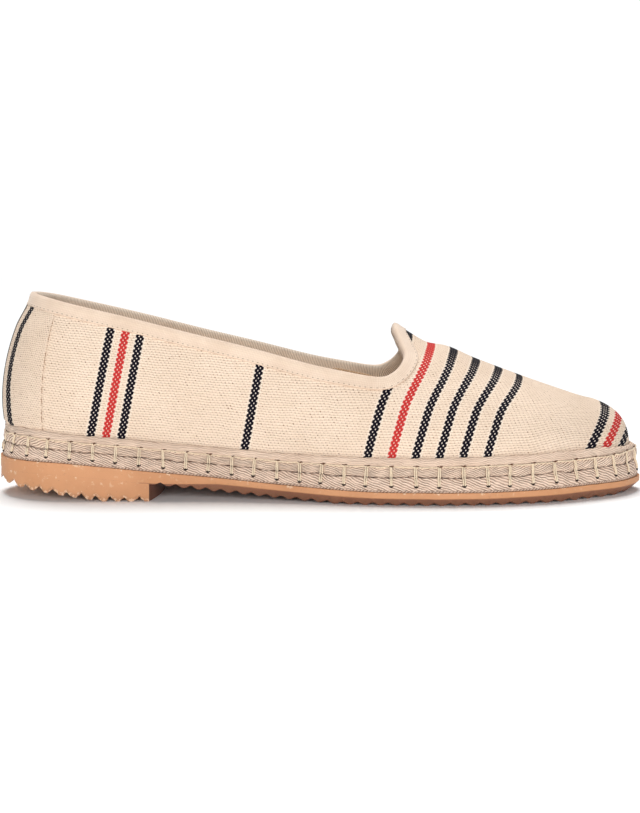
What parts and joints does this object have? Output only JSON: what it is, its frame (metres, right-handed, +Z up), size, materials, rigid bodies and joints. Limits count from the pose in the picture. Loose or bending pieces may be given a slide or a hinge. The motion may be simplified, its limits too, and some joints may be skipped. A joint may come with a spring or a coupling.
{
  "type": "canvas espadrille shoe",
  "caption": "Low canvas slip-on espadrille with a pointed vamp, striped upper, tape-wrapped stitched platform, rippled rubber outsole and low heel lift.",
  "frame": {"origin": "middle of the overall footprint, on the floor that the shoe stands on", "axes": "+X from the heel to the toe, +Y towards the inner side of the foot, +Z up"},
  "size_m": [0.256, 0.0888, 0.0792],
  "materials": {
    "rubber": "matt tan rubber, slightly scuffed",
    "tape": "braided natural tape, matt",
    "footbed": "plain cloth footbed, matt",
    "canvas": "woven cream canvas with navy and red stripes, matt",
    "binding": "smooth cream canvas band, matt"
  },
  "bodies": {
    "root": {"outsole": "rubber", "heel_lift": "rubber", "midsole": "tape", "welt": "tape", "insole": "footbed", "upper": "canvas", "backstay": "canvas", "collar_binding": "binding"}
  },
  "joints": []
}
